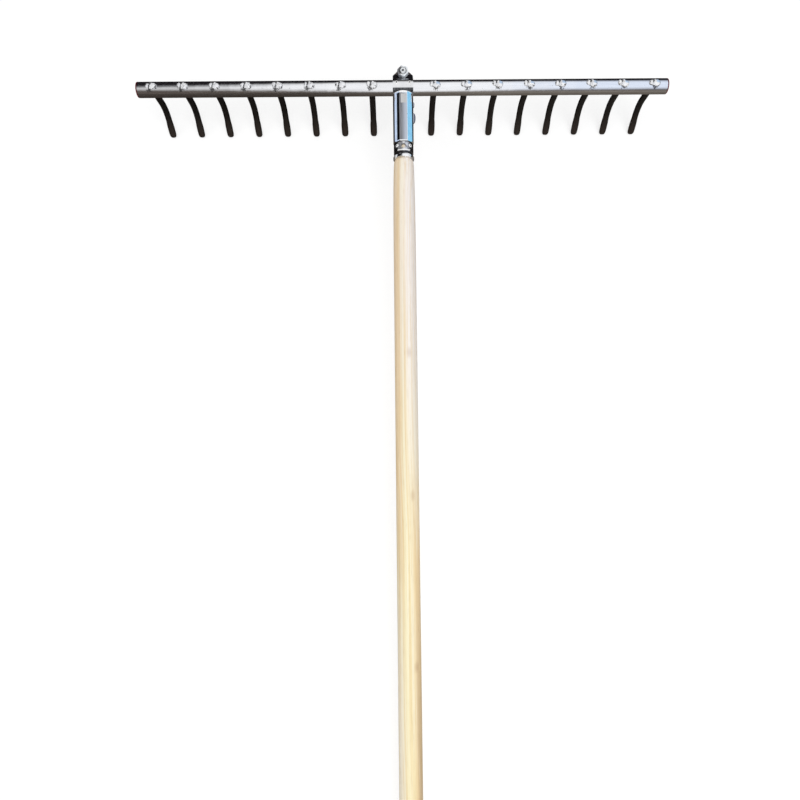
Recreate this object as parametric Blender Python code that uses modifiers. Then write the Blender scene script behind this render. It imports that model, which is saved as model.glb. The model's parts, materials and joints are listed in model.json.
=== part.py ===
"""Adjustable garden rake with a round steel head tube, sixteen riveted tines and a wooden handle.

The rake is modelled along its handle: X runs along the head tube, Y along the handle with the user at -Y,
and the tines point down, -Z. The tube's axis is the origin of that frame. At the end the whole rake is
tipped to lie as it does on the ground, on its tine points and the handle's end.
"""

import math

import bmesh
import bpy
from mathutils import Matrix

FIT_GAP = 0.0003  # left between pieces that touch or fit on the real rake

# Head tube and its end plugs
TUBE_DIAMETER = 0.019
TUBE_WALL = 0.0015
TUBE_LENGTH = 0.676
PLUG_FLANGE = 0.0014
PLUG_STEM_LENGTH = 0.010
PLUG_RIB_HEIGHT = 0.0004

# Tines: a straight shank through the tube, one bend towards the user, and a flattened end
TINES_PER_SIDE = 8
TINE_END_MARGIN = 0.018  # from the tube's end to the outermost tine
TINE_DIAMETER = 0.008
TINE_SHANK_LENGTH = 0.030  # from the tube's axis to the start of the bend
TINE_BEND_RADIUS = 0.052
TINE_BEND_ANGLE = math.radians(35.0)
TINE_POINT_LENGTH = 0.0237  # straight, after the bend
TINE_PAD_LENGTH = 0.024
TINE_PAD_WIDTH = 0.0092
TINE_PAD_THICKNESS = 0.0068
TINE_TIP_LENGTH = 0.0055

# The split and spread end that holds a tine on top of the tube
STAKE_LOBE_WIDTH = 0.0084
STAKE_LOBE_DEPTH = 0.0094
STAKE_LOBE_HEIGHT = 0.0052
STAKE_SPREAD = 0.0037  # from the tine's axis to a lobe's middle
STAKE_TURN = math.radians(-14.0)  # the chisel was held a little askew
CLEFT_WIDTH = 0.0026
CLEFT_DEPTH = 0.0020

# Clamp: two pressed shells, each with an ear, a half round over the tube and half a socket
CLAMP_WIDTH = 0.026
SHEET = 0.0015
SHELL_GAP = 0.0008  # between the two shells, which the bolt draws together
EAR_SHOULDER = 0.0155  # from the tube's axis to where the ear's corners are cut off
EAR_END = 0.0264
EAR_END_RADIUS = 0.0050
NECK_START = 0.0082
SOCKET_START = 0.0102
PANEL_END = 0.0760
BAND_END = 0.0895
BEAD_TOP = 0.0930
SOCKET_END = 0.0965
GROOVE_DEPTH = 0.0008
BEAD_RISE = 0.0003
PANEL_SINK = 0.0011  # of the front shell's flat, below the round of the socket
FLANK_SINK = 0.0006  # of the two slanting flats beside it
FLANK_LEAN = 40  # degrees
PAD_MARGIN = 0.0019  # from the clamp's side to the pad's corner
PAD_SHOULDER = 0.0144
PAD_ALONG = 0.0112
PAD_RISE = 0.0005
PIP_DIAMETER = 0.0044
PIP_RISE = 0.0007
PIP_MARGIN = 0.0046  # from the clamp's side to a pip's middle
TAB_RISE = 0.0018
TAB_LENGTH = 0.0130
TAB_MIDDLE = 0.0397
SMALL_TAB_RISE = 0.0009
SMALL_TAB_LENGTH = 0.0065
SMALL_TAB_MIDDLE = 0.0218
TAB_THICKNESS = 0.0030
SOCKET_WALL = 0.0021  # of the socket round the handle's nose

# Clamp bolt and nut, M8
BOLT_DIAMETER = 0.008
BOLT_PLACE = 0.0184  # from the tube's axis
BOLT_THREAD_SHOWN = 0.0014  # above the nut
BOLT_HEAD_HEIGHT = 0.0053
NUT_HEIGHT = 0.0065
HEX_ACROSS_FLATS = 0.013
BOLT_HEAD_TURN = math.radians(30.0)  # a flat towards the tube
NUT_TURN = math.radians(16.0)  # how the nut stopped when it was tightened

# Handle
HANDLE_LENGTH = 1.500
HANDLE_DIAMETER = 0.028
NOSE_START = 0.0165  # from the tube's axis
NOSE_ROUNDING = 0.003
SHOULDER_INSET = 0.0006  # from the clamp's sides to the wood where it comes out of the socket
SHOULDER_LENGTH = 0.0045
TAPER_LENGTH = 0.130
BUTT_ROUNDING = 0.007

# Screw through the rear shell into the handle; the front shell's hole is open
SCREW_PLACE = 0.0829
SCREW_HOLE_DIAMETER = 0.0056
SCREW_DIAMETER = 0.0040
SCREW_HEAD_DIAMETER = 0.0084
SCREW_HEAD_HEIGHT = 0.0024
SCREW_LENGTH = 0.012  # in the wood
SCREW_SLOT_WIDTH = 0.0011
SCREW_SLOT_DEPTH = 0.0010

# Facets
TUBE_STEPS = 32
TINE_STEPS = 10
SOCKET_STEPS = 32
HANDLE_STEPS = 32
HOLE_STEPS = 14
BEND_STEPS = 5

CUTTER_REACH = 0.050  # how far a cutter goes, past any wall that it cuts

TUBE_RADIUS = TUBE_DIAMETER / 2
TUBE_BORE_RADIUS = TUBE_RADIUS - TUBE_WALL
TINE_PITCH = (TUBE_LENGTH - 2 * TINE_END_MARGIN) / (2 * TINES_PER_SIDE)
TINE_RADIUS = TINE_DIAMETER / 2
SADDLE_RADIUS = TUBE_RADIUS + FIT_GAP  # what lies on the tube is hollowed to this
WRAP_RADIUS = SADDLE_RADIUS + SHEET
SOCKET_RADIUS = CLAMP_WIDTH / 2
CAVITY_RADIUS = SOCKET_RADIUS - SOCKET_WALL
NOSE_RADIUS = CAVITY_RADIUS - FIT_GAP
SHOULDER_RADIUS = SOCKET_RADIUS - SHOULDER_INSET
PIP_PLACE = SOCKET_RADIUS - PIP_MARGIN
EAR_UNDERSIDE = SHELL_GAP / 2
EAR_TOP = EAR_UNDERSIDE + SHEET
NUT_SEAT = EAR_TOP + FIT_GAP
NUT_TOP = NUT_SEAT + NUT_HEIGHT
BAND_RADIUS = SOCKET_RADIUS - PAD_RISE

IDENTITY = Matrix.Identity(4)
ALONG_X = Matrix.Rotation(math.pi / 2, 4, "Y")
ALONG_Y = Matrix.Rotation(math.pi / 2, 4, "X")  # a turned piece's own Z then runs towards the user


def clear_scene():
    for old in list(bpy.data.objects):
        bpy.data.objects.remove(old, do_unlink=True)


def new_collection(name, helper=False):
    collection = bpy.data.collections.new(name)
    collection.hide_render = helper
    bpy.context.scene.collection.children.link(collection)
    return collection


def new_material(name, colour, roughness, metallic=0.0):
    material = bpy.data.materials.new(name)
    material.use_nodes = True
    shader = material.node_tree.nodes["Principled BSDF"]
    shader.inputs["Base Color"].default_value = (*colour, 1.0)
    shader.inputs["Roughness"].default_value = roughness
    shader.inputs["Metallic"].default_value = metallic
    return material


def new_part(name, mesh, material, matrix=IDENTITY):
    """A piece of the rake, placed in the rake's own frame."""
    part = bpy.data.objects.new(name, mesh)
    parts.objects.link(part)
    if not mesh.materials:
        mesh.materials.append(material)
    part.parent = rake
    part.matrix_local = matrix
    return part


def new_cutter(name, mesh, matrix=IDENTITY):
    """A helper that only shapes other pieces."""
    cutter = bpy.data.objects.new(name, mesh)
    cutters.objects.link(cutter)
    cutter.hide_render = True
    cutter.display_type = "WIRE"
    cutter.parent = rake
    cutter.matrix_local = matrix
    return cutter


def mesh_from(bm, name):
    mesh = bpy.data.meshes.new(name)
    bm.to_mesh(mesh)
    bm.free()
    return mesh


def cylinder_mesh(name, radius, length, steps, top_radius=None):
    bm = bmesh.new()
    bmesh.ops.create_cone(
        bm,
        cap_ends=True,
        segments=steps,
        radius1=radius,
        radius2=radius if top_radius is None else top_radius,
        depth=length,
    )
    return mesh_from(bm, name)


def box_mesh(name, size):
    bm = bmesh.new()
    bmesh.ops.create_cube(bm, size=1.0, matrix=Matrix.Diagonal((*size, 1.0)))
    return mesh_from(bm, name)


def ellipsoid_mesh(name, size, steps, rings):
    bm = bmesh.new()
    stretch = Matrix.Diagonal((size[0] / 2, size[1] / 2, size[2] / 2, 1.0))
    bmesh.ops.create_uvsphere(bm, u_segments=steps, v_segments=rings, radius=1.0, matrix=stretch)
    return mesh_from(bm, name)


def outline_mesh(name, points, low, high):
    """A flat outline in XY, filled and raised from low to high."""
    bm = bmesh.new()
    face = bm.faces.new([bm.verts.new((x, y, low)) for x, y in points])
    raised = bmesh.ops.extrude_face_region(bm, geom=[face])["geom"]
    top = [v for v in raised if isinstance(v, bmesh.types.BMVert)]
    bmesh.ops.translate(bm, verts=top, vec=(0, 0, high - low))
    bmesh.ops.recalc_face_normals(bm, faces=bm.faces)
    return mesh_from(bm, name)


def profile_mesh(name, points):
    """Points (radius, height) joined in a line in the XZ plane, for a Screw modifier."""
    mesh = bpy.data.meshes.new(name)
    edges = [(i, i + 1) for i in range(len(points) - 1)]
    mesh.from_pydata([(radius, 0.0, height) for radius, height in points], edges, [])
    return mesh


def turn(obj, steps):
    """Turns the object's profile round its own Z. The profile runs from top to bottom."""
    screw = obj.modifiers.new("Turn", "SCREW")
    screw.axis = "Z"
    screw.steps = steps
    screw.render_steps = steps
    screw.use_merge_vertices = True
    screw.merge_threshold = 0.000001
    return obj


def shape(obj, cutter, operation):
    boolean = obj.modifiers.new(f"{operation.title()} {cutter.name}", "BOOLEAN")
    boolean.operation = operation
    boolean.object = cutter
    boolean.solver = "EXACT"


def join(obj, cutter):
    shape(obj, cutter, "UNION")


def cut(obj, cutter):
    shape(obj, cutter, "DIFFERENCE")


def keep(obj, cutter):
    shape(obj, cutter, "INTERSECT")


def arc(centre, radii, start, end, steps):
    """Points on a stretch of an ellipse, both ends included, angles in degrees."""
    for i in range(steps + 1):
        angle = math.radians(start + (end - start) * i / steps)
        yield centre[0] + radii[0] * math.cos(angle), centre[1] + radii[1] * math.sin(angle)


def tine_places():
    """The tines' places along the tube, left to right. The middle place is the clamp's."""
    for number in range(-TINES_PER_SIDE, TINES_PER_SIDE + 1):
        if number:
            yield number * TINE_PITCH


def tine_path():
    """The tine's middle line from its top to its tip: (y, z), and how far it is turned towards the user."""
    yield 0.0, SADDLE_RADIUS + STAKE_LOBE_HEIGHT / 4, 0.0
    for i in range(BEND_STEPS + 1):
        angle = TINE_BEND_ANGLE * i / BEND_STEPS
        across = TINE_BEND_RADIUS * (1 - math.cos(angle))
        down = TINE_SHANK_LENGTH + TINE_BEND_RADIUS * math.sin(angle)
        yield -across, -down, angle
    end_y = -TINE_BEND_RADIUS * (1 - math.cos(TINE_BEND_ANGLE))
    end_z = -TINE_SHANK_LENGTH - TINE_BEND_RADIUS * math.sin(TINE_BEND_ANGLE)
    straight = TINE_POINT_LENGTH - TINE_TIP_LENGTH
    for along in [straight * 0.45] + [straight + TINE_TIP_LENGTH * f for f in (0.0, 0.45, 0.78, 1.0)]:
        yield (
            end_y - along * math.sin(TINE_BEND_ANGLE),
            end_z - along * math.cos(TINE_BEND_ANGLE),
            TINE_BEND_ANGLE,
        )


def tine_sections():
    """For each point of the path: its place, its turn, and the half width and half thickness there."""
    path = list(tine_path())
    lengths = [0.0]
    for before, after in zip(path, path[1:]):
        lengths.append(lengths[-1] + math.dist(before[:2], after[:2]))
    total = lengths[-1]
    for (y, z, angle), s in zip(path, lengths):
        flat = min(max((s - total + TINE_PAD_LENGTH) / (TINE_PAD_LENGTH / 2), 0.0), 1.0)
        half_width = TINE_RADIUS + (TINE_PAD_WIDTH / 2 - TINE_RADIUS) * flat
        half_thickness = TINE_RADIUS + (TINE_PAD_THICKNESS / 2 - TINE_RADIUS) * flat
        into_tip = max((s - total + TINE_TIP_LENGTH) / TINE_TIP_LENGTH, 0.0)
        rounding = max(math.sqrt(1 - min(into_tip, 1.0) ** 2), 0.3)
        yield y, z, angle, half_width * rounding, half_thickness * rounding


def tine_shaft_mesh():
    """Circles set along the tine's path, bridged and capped."""
    bm = bmesh.new()
    loops = []
    for y, z, angle, half_width, half_thickness in tine_sections():
        place = Matrix.Translation((0.0, y, z)) @ Matrix.Rotation(-angle, 4, "X")
        place = place @ Matrix.Diagonal((half_width, half_thickness, 1.0, 1.0))
        made = bmesh.ops.create_circle(bm, segments=TINE_STEPS, radius=1.0, matrix=place)["verts"]
        loops.append(list({edge for vert in made for edge in vert.link_edges}))
    for upper, lower in zip(loops, loops[1:]):
        bmesh.ops.bridge_loops(bm, edges=upper + lower)
    bmesh.ops.holes_fill(bm, edges=loops[0] + loops[-1])
    bmesh.ops.recalc_face_normals(bm, faces=bm.faces)
    return mesh_from(bm, "tine_shaft")


def tine_mesh():
    """One finished tine: the shaft with its end split by a chisel into two lobes that lie on the tube."""
    shaft = new_cutter("tine_blank", tine_shaft_mesh())
    saddle = new_cutter(
        "tine_saddle_cutter",
        cylinder_mesh("tine_saddle_cutter", SADDLE_RADIUS, CLAMP_WIDTH, TUBE_STEPS),
        ALONG_X,
    )
    lobe = ellipsoid_mesh("stake_lobe", (STAKE_LOBE_WIDTH, STAKE_LOBE_DEPTH, STAKE_LOBE_HEIGHT), 9, 6)
    turned = Matrix.Rotation(STAKE_TURN, 4, "Z")
    place = turned @ Matrix.Translation((-STAKE_SPREAD, 0.0, SADDLE_RADIUS))
    stake = new_cutter("stake_blank", lobe, place)
    other = turned @ Matrix.Translation((STAKE_SPREAD, 0.0, SADDLE_RADIUS))
    join(stake, new_cutter("stake_other_lobe", lobe, other))
    cut(stake, saddle)
    join(shaft, stake)
    top = SADDLE_RADIUS + STAKE_LOBE_HEIGHT / 2
    cleft_points = [(-CLEFT_WIDTH, 2 * CLEFT_DEPTH), (0.0, 0.0), (CLEFT_WIDTH, 2 * CLEFT_DEPTH)]
    cleft = new_cutter(
        "cleft_cutter",
        outline_mesh("cleft_cutter", cleft_points, -STAKE_LOBE_DEPTH, STAKE_LOBE_DEPTH),
        turned @ Matrix.Translation((0.0, 0.0, top - CLEFT_DEPTH)) @ ALONG_Y,
    )
    cut(shaft, cleft)
    bpy.context.view_layer.update()
    graph = bpy.context.evaluated_depsgraph_get()
    mesh = bpy.data.meshes.new_from_object(shaft.evaluated_get(graph))
    mesh.name = "tine"
    return mesh


def smooth(mesh, degrees=40.0):
    mesh.shade_smooth()
    mesh.set_sharp_from_angle(angle=math.radians(degrees))


def make_tines(material):
    mesh = tine_mesh()
    smooth(mesh)
    for number, x in enumerate(tine_places(), start=1):
        new_part(f"tine_{number:02d}", mesh, material, Matrix.Translation((x, 0.0, 0.0)))


def make_head_tube(material):
    """The tube, bored through, with a pair of holes for each tine."""
    mesh = cylinder_mesh("head_tube", TUBE_RADIUS, TUBE_LENGTH, TUBE_STEPS)
    tube = new_part("head_tube", mesh, material, ALONG_X)
    smooth(mesh)
    bore = cylinder_mesh("tube_bore_cutter", TUBE_BORE_RADIUS, TUBE_LENGTH * 1.1, TUBE_STEPS)
    cut(tube, new_cutter("tube_bore_cutter", bore, ALONG_X))
    bm = bmesh.new()
    for x in tine_places():
        bmesh.ops.create_cone(
            bm,
            cap_ends=True,
            segments=HOLE_STEPS,
            radius1=TINE_RADIUS + FIT_GAP,
            radius2=TINE_RADIUS + FIT_GAP,
            depth=TUBE_DIAMETER * 1.5,
            matrix=Matrix.Translation((x, 0.0, 0.0)),
        )
    cut(tube, new_cutter("tine_hole_cutter", mesh_from(bm, "tine_hole_cutter")))


def make_end_plug(name, side, material):
    """A plastic plug: a thin domed flange over the tube's end and a ribbed stem in its bore."""
    rim = TUBE_RADIUS
    stem = TUBE_BORE_RADIUS - FIT_GAP
    waist = stem - PLUG_RIB_HEIGHT
    rib = PLUG_STEM_LENGTH / 4
    points = [(0.0, PLUG_FLANGE * 1.3), (rim * 0.6, PLUG_FLANGE * 1.2), (rim * 0.92, PLUG_FLANGE)]
    points += [(rim, PLUG_FLANGE * 0.6), (rim, 0.0), (stem, 0.0)]
    for i in range(3):
        top = -rib * (i + 0.4)
        points += [(waist, top), (waist, top - rib * 0.5), (stem, top - rib * 0.7)]
    points += [(waist, -PLUG_STEM_LENGTH), (waist - 0.0012, -PLUG_STEM_LENGTH)]
    points += [(waist - 0.0012, -rib), (0.0, -rib)]
    reach = side * (TUBE_LENGTH / 2 + FIT_GAP)
    outward = Matrix.Rotation(side * math.pi / 2, 4, "Y")
    plug = new_part(name, profile_mesh(name, points), material, Matrix.Translation((reach, 0, 0)) @ outward)
    turn(plug, TUBE_STEPS // 2)


def socket_profile():
    """The socket's outside, (radius, distance towards the user), from the mouth to the neck."""
    groove = BAND_RADIUS - GROOVE_DEPTH
    bead = SOCKET_RADIUS + BEAD_RISE
    yield 0.0, SOCKET_END
    yield CAVITY_RADIUS + SHEET, SOCKET_END
    yield bead - 0.0003, SOCKET_END - 0.0008
    yield bead, BEAD_TOP + 0.0010
    yield bead - 0.0003, BEAD_TOP - 0.0015
    yield groove, BAND_END + 0.0008
    yield groove, BAND_END + 0.0003
    yield BAND_RADIUS, BAND_END - 0.0008
    yield BAND_RADIUS, PANEL_END + 0.0020
    yield groove, PANEL_END + 0.0011
    yield groove, PANEL_END + 0.0005
    yield SOCKET_RADIUS - 0.0003, PANEL_END - 0.0006
    yield SOCKET_RADIUS, PANEL_END - 0.0016
    yield SOCKET_RADIUS, SOCKET_START + 0.0006
    yield SOCKET_RADIUS - 0.0005, SOCKET_START
    yield SOCKET_RADIUS - 0.0022, SOCKET_START - 0.0010
    yield SOCKET_RADIUS - 0.0054, NECK_START
    yield 0.0, NECK_START


def cavity_profile():
    """The hollow for the handle's nose, with room at its closed end."""
    closed = NOSE_START - FIT_GAP
    yield 0.0, SOCKET_END + 0.01
    yield CAVITY_RADIUS, SOCKET_END + 0.01
    centre = CAVITY_RADIUS - NOSE_ROUNDING, closed + NOSE_ROUNDING
    yield from arc(centre, (NOSE_ROUNDING, NOSE_ROUNDING), 0, -90, 3)
    yield 0.0, closed


def ear_outline():
    """The ear past the tube: its corners are cut off and its end is round. Y is away from the user."""
    half = CLAMP_WIDTH / 2
    end = list(arc((0.0, EAR_END - EAR_END_RADIUS), (EAR_END_RADIUS, EAR_END_RADIUS), 45, 135, 4))
    return [(half, 0.0), (half, EAR_SHOULDER), *end, (-half, EAR_SHOULDER), (-half, 0.0)]


def pad_outline():
    """The six-sided pad round the screw hole."""
    half, shoulder, along = SOCKET_RADIUS - PAD_MARGIN, PAD_SHOULDER / 2, PAD_ALONG / 2
    upper = [(half, 0.0), (shoulder, along), (-shoulder, along)]
    return upper + [(-x, -y) for x, y in upper]


def make_clamp_shell(name, side, material):
    """One pressed half of the clamp. side is 1 for the shell over the tube and -1 for the one under it."""

    def helper(kind, mesh, matrix=IDENTITY):
        return new_cutter(f"{name}_{kind}", mesh, matrix)

    shell = new_part(name, profile_mesh(name, list(socket_profile())), material, ALONG_Y)
    turn(shell, SOCKET_STEPS)
    join(shell, helper("wrap", cylinder_mesh("wrap", WRAP_RADIUS, CLAMP_WIDTH, TUBE_STEPS), ALONG_X))
    low, high = sorted((side * EAR_UNDERSIDE, side * EAR_TOP))
    join(shell, helper("ear", outline_mesh("ear", ear_outline(), low, high)))

    low, high = sorted((side * EAR_TOP, side * 2 * SOCKET_RADIUS))
    pad_mesh = outline_mesh("pad", pad_outline(), low, high)
    pad = helper("pad", pad_mesh, Matrix.Translation((0, -SCREW_PLACE, 0)))
    pad_reach = cylinder_mesh("pad_reach", BAND_RADIUS + PAD_RISE, SOCKET_END, SOCKET_STEPS)
    keep(pad, helper("pad_reach", pad_reach, Matrix.Translation((0, -SOCKET_END, 0)) @ ALONG_Y))
    join(shell, pad)

    pip_mesh = ellipsoid_mesh("pip", (PIP_DIAMETER, PIP_DIAMETER, 4 * PIP_RISE), 10, 6)
    for across in (-PIP_PLACE, PIP_PLACE):
        crest = math.sqrt(WRAP_RADIUS**2 - 0.0013**2)
        at = Matrix.Translation((across, 0.0013, side * (crest - PIP_RISE)))
        join(shell, helper(f"wrap_pip_{across:+.4f}", pip_mesh, at))
        lean = math.asin(across / (BAND_RADIUS + PAD_RISE))
        at = Matrix.Translation((0, -SCREW_PLACE + 0.0015, 0)) @ Matrix.Rotation(side * lean, 4, "Y")
        at = at @ Matrix.Translation((0, 0, side * (BAND_RADIUS + PAD_RISE - PIP_RISE)))
        join(shell, helper(f"band_pip_{across:+.4f}", pip_mesh, at))

    if side > 0:
        panel = box_mesh("panel", (CLAMP_WIDTH, PANEL_END - SOCKET_START + 0.0030, CUTTER_REACH))
        middle = Matrix.Translation((0, -(PANEL_END + SOCKET_START - 0.0018) / 2, 0))
        for turn_degrees, sink in ((-FLANK_LEAN, FLANK_SINK), (0, PANEL_SINK), (FLANK_LEAN, FLANK_SINK)):
            at = middle @ Matrix.Rotation(math.radians(turn_degrees), 4, "Y")
            at = at @ Matrix.Translation((0, 0, SOCKET_RADIUS - sink + CUTTER_REACH / 2))
            cut(shell, helper(f"panel_{turn_degrees:+d}", panel, at))
    else:
        for kind, rise, length, middle in (
            ("seam_tab", TAB_RISE, TAB_LENGTH, TAB_MIDDLE),
            ("small_seam_tab", SMALL_TAB_RISE, SMALL_TAB_LENGTH, SMALL_TAB_MIDDLE),
        ):
            tab = cylinder_mesh(kind, 0.5, TAB_THICKNESS, 16)
            place = Matrix.Translation((SOCKET_RADIUS, -middle, -EAR_UNDERSIDE - TAB_THICKNESS / 2))
            join(shell, helper(kind, tab, place @ Matrix.Diagonal((2 * rise, length, 1.0, 1.0))))

    bore = cylinder_mesh("clamp_bore", SADDLE_RADIUS, CLAMP_WIDTH * 1.5, TUBE_STEPS)
    cut(shell, helper("bore", bore, ALONG_X))
    cavity = helper("cavity", profile_mesh("cavity", list(cavity_profile())), ALONG_Y)
    turn(cavity, SOCKET_STEPS)
    cut(shell, cavity)
    reach = SOCKET_END + EAR_END + CUTTER_REACH
    half_space = box_mesh("half_space", (2 * CLAMP_WIDTH, 2 * reach, CUTTER_REACH))
    at = Matrix.Translation((0, 0, side * (EAR_UNDERSIDE - CUTTER_REACH / 2)))
    cut(shell, helper("other_half", half_space, at))
    bolt_hole = cylinder_mesh("bolt_hole", BOLT_DIAMETER / 2 + FIT_GAP, CUTTER_REACH, HOLE_STEPS)
    cut(shell, helper("bolt_hole", bolt_hole, Matrix.Translation((0, BOLT_PLACE, 0))))
    screw_hole = cylinder_mesh("screw_hole", SCREW_HOLE_DIAMETER / 2, CUTTER_REACH, HOLE_STEPS)
    at = Matrix.Translation((0, -SCREW_PLACE, side * CUTTER_REACH / 2))
    off_ridge = Matrix.Rotation(math.pi / HOLE_STEPS / 2, 4, "Z")  # no corner falls on the socket's ridge
    cut(shell, helper("screw_hole", screw_hole, at @ off_ridge))


def chamfered_hex_cutter(name, low, high):
    """What a hexagon keeps when its corners are turned off at both ends: a short barrel."""
    corner = HEX_ACROSS_FLATS / 2 / math.cos(math.pi / 6)
    flat = HEX_ACROSS_FLATS / 2
    drop = (corner - flat) * math.tan(math.radians(30.0))
    points = [(0.0, high), (flat * 0.97, high), (corner * 1.01, high - drop * 1.3)]
    points += [(corner * 1.01, low + drop * 1.3), (flat * 0.97, low), (0.0, low)]
    cutter = new_cutter(name, profile_mesh(name, points), Matrix.Translation((0, BOLT_PLACE, 0)))
    return turn(cutter, 24)


def make_clamp_nut(material):
    radius = HEX_ACROSS_FLATS / 2 / math.cos(math.pi / 6)
    mesh = cylinder_mesh("clamp_nut", radius, NUT_HEIGHT, 6)
    middle = (NUT_SEAT + NUT_TOP) / 2
    place = Matrix.Translation((0, BOLT_PLACE, middle)) @ Matrix.Rotation(NUT_TURN, 4, "Z")
    nut = new_part("clamp_nut", mesh, material, place)
    keep(nut, chamfered_hex_cutter("nut_barrel", NUT_SEAT, NUT_TOP))
    bore = cylinder_mesh("nut_bore", BOLT_DIAMETER / 2 + FIT_GAP, 3 * NUT_HEIGHT, HOLE_STEPS)
    cut(nut, new_cutter("nut_bore", bore, Matrix.Translation((0, BOLT_PLACE, middle))))


def make_clamp_bolt(material):
    """The bolt stands head down through both ears, so its thread shows above the nut."""
    radius = BOLT_DIAMETER / 2
    end = NUT_TOP + BOLT_THREAD_SHOWN
    seat = -EAR_TOP - FIT_GAP
    hex_radius = HEX_ACROSS_FLATS / 2 / math.cos(math.pi / 6)
    mesh = cylinder_mesh("clamp_bolt", hex_radius, BOLT_HEAD_HEIGHT, 6)
    place = Matrix.Translation((0, BOLT_PLACE, seat - BOLT_HEAD_HEIGHT / 2))
    place = place @ Matrix.Rotation(BOLT_HEAD_TURN, 4, "Z")
    bolt = new_part("clamp_bolt", mesh, material, place)
    keep(bolt, chamfered_hex_cutter("bolt_head_barrel", seat - BOLT_HEAD_HEIGHT, seat))
    points = [(0.0, end), (radius - 0.0008, end), (radius, end - 0.0010)]
    points += [(radius, seat - 0.002), (0.0, seat - 0.002)]
    at = Matrix.Translation((0, BOLT_PLACE, 0))
    shank = new_cutter("bolt_shank", profile_mesh("bolt_shank", points), at)
    join(bolt, turn(shank, HOLE_STEPS))


def handle_profile():
    """The handle, (radius, distance towards the user), from its butt to its nose."""
    butt = NOSE_START + HANDLE_LENGTH
    radius = HANDLE_DIAMETER / 2
    shoulder = SHOULDER_RADIUS
    yield 0.0, butt
    centre = radius - BUTT_ROUNDING, butt - BUTT_ROUNDING
    yield from arc(centre, (BUTT_ROUNDING, BUTT_ROUNDING), 90, 0, 5)
    mouth = SOCKET_END + FIT_GAP
    start = mouth + SHOULDER_LENGTH
    for i in (6, 5, 4, 3, 2, 1):
        share = i / 6
        yield radius - (radius - shoulder) * (1 - share) ** 2, start + TAPER_LENGTH * share**1.6
    yield from arc((NOSE_RADIUS, start), (shoulder - NOSE_RADIUS, SHOULDER_LENGTH), 0, -90, 3)
    centre = NOSE_RADIUS - NOSE_ROUNDING, NOSE_START + NOSE_ROUNDING
    yield from arc(centre, (NOSE_ROUNDING, NOSE_ROUNDING), 0, -90, 3)
    yield 0.0, NOSE_START


def make_handle(material):
    handle = new_part("handle", profile_mesh("handle", list(handle_profile())), material, ALONG_Y)
    turn(handle, HANDLE_STEPS)
    pilot = cylinder_mesh("screw_pilot", SCREW_DIAMETER / 2 + FIT_GAP, CUTTER_REACH, HOLE_STEPS)
    end = NOSE_RADIUS - SCREW_LENGTH - FIT_GAP
    at = Matrix.Translation((0, -SCREW_PLACE, -end - CUTTER_REACH / 2))
    cut(handle, new_cutter("screw_pilot", pilot, at))


def make_handle_screw(material):
    """A slotted round-head wood screw that stands in the rear shell's hole."""
    seat = BAND_RADIUS + PAD_RISE + FIT_GAP
    radius = SCREW_DIAMETER / 2
    head = SCREW_HEAD_DIAMETER / 2
    points = [(0.0, seat + SCREW_HEAD_HEIGHT)]
    points += list(arc((0.0, seat), (head, SCREW_HEAD_HEIGHT), 75, 0, 4))
    points += [(radius, seat), (radius, NOSE_RADIUS - SCREW_LENGTH * 0.6), (0.0, NOSE_RADIUS - SCREW_LENGTH)]
    downwards = Matrix.Translation((0, -SCREW_PLACE, 0)) @ Matrix.Rotation(math.pi, 4, "X")
    screw = new_part("handle_screw", profile_mesh("handle_screw", points), material, downwards)
    turn(screw, HOLE_STEPS)
    slot = box_mesh("screw_slot", (3 * head, SCREW_SLOT_WIDTH, 2 * SCREW_SLOT_DEPTH))
    at = Matrix.Translation((0, -SCREW_PLACE, -seat - SCREW_HEAD_HEIGHT))
    cut(screw, new_cutter("screw_slot", slot, at @ Matrix.Rotation(math.radians(20), 4, "Z")))


def points_in_world():
    """Every vertex of the finished pieces."""
    bpy.context.view_layer.update()
    graph = bpy.context.evaluated_depsgraph_get()
    points = []
    for obj in parts.objects:
        if obj.type == "MESH":
            evaluated = obj.evaluated_get(graph)
            points += [evaluated.matrix_world @ vert.co for vert in evaluated.data.vertices]
    return points


def lay_on_ground():
    """Tips the rake so that its tines and its butt touch the ground, and centres it over the origin."""
    tip_y = -TINE_BEND_RADIUS * (1 - math.cos(TINE_BEND_ANGLE))
    tip_y -= TINE_POINT_LENGTH * math.sin(TINE_BEND_ANGLE)
    tip_z = TINE_SHANK_LENGTH + TINE_BEND_RADIUS * math.sin(TINE_BEND_ANGLE)
    tip_z += TINE_POINT_LENGTH * math.cos(TINE_BEND_ANGLE)
    butt_y = NOSE_START + HANDLE_LENGTH - BUTT_ROUNDING
    rake.rotation_euler.x = math.atan((tip_z - HANDLE_DIAMETER / 2) / (butt_y + tip_y))
    points = points_in_world()
    low_y, high_y = min(p.y for p in points), max(p.y for p in points)
    rake.location = (0.0, -(low_y + high_y) / 2, -min(p.z for p in points))
    bpy.context.view_layer.update()


clear_scene()
parts = new_collection("adjustable_garden_rake")
cutters = new_collection("cutters", helper=True)
rake = bpy.data.objects.new("rake", None)
parts.objects.link(rake)
bright_steel = new_material("bright_steel", (0.62, 0.62, 0.64), 0.30, 1.0)
black_iron = new_material("black_iron", (0.018, 0.016, 0.015), 0.45, 0.6)
chrome = new_material("chrome", (0.78, 0.80, 0.83), 0.10, 1.0)
zinc = new_material("zinc", (0.70, 0.71, 0.72), 0.28, 1.0)
red_plastic = new_material("red_plastic", (0.42, 0.03, 0.04), 0.40)
ash_wood = new_material("ash_wood", (0.80, 0.64, 0.42), 0.55)

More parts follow.
